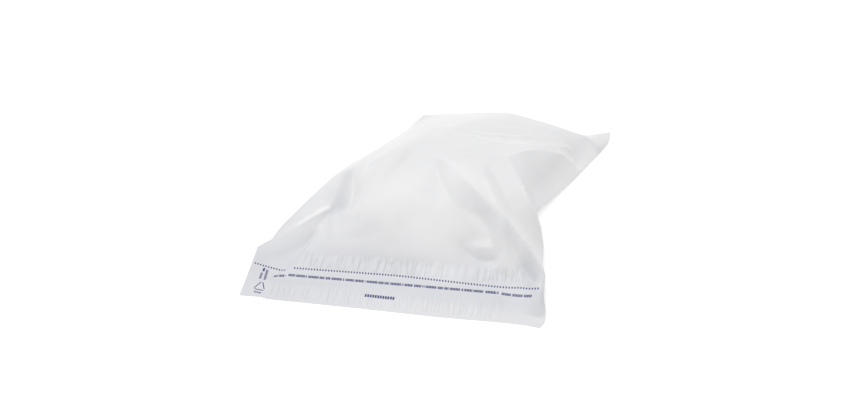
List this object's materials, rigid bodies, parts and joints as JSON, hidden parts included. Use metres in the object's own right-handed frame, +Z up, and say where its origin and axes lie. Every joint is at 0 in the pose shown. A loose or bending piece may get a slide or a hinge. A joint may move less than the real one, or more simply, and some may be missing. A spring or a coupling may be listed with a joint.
{
  "type": "poly mailer bag",
  "caption": "Filled white film mailer lying flat: soft raised filling, long creases, a pleated flap with gathered glue bands and a flat welded corner.",
  "frame": {"origin": "middle of the bag's footprint, on the surface it lies on", "axes": "+Z up from the flat underside, +X along the closed flap's straight edge, -Y towards that flap"},
  "size_m": [0.38, 0.3538, 0.0617],
  "materials": {
    "white_film": "satin white polyethylene film, lightly creased"
  },
  "bodies": {
    "root": {"mailer_bag": "white_film"}
  },
  "joints": []
}
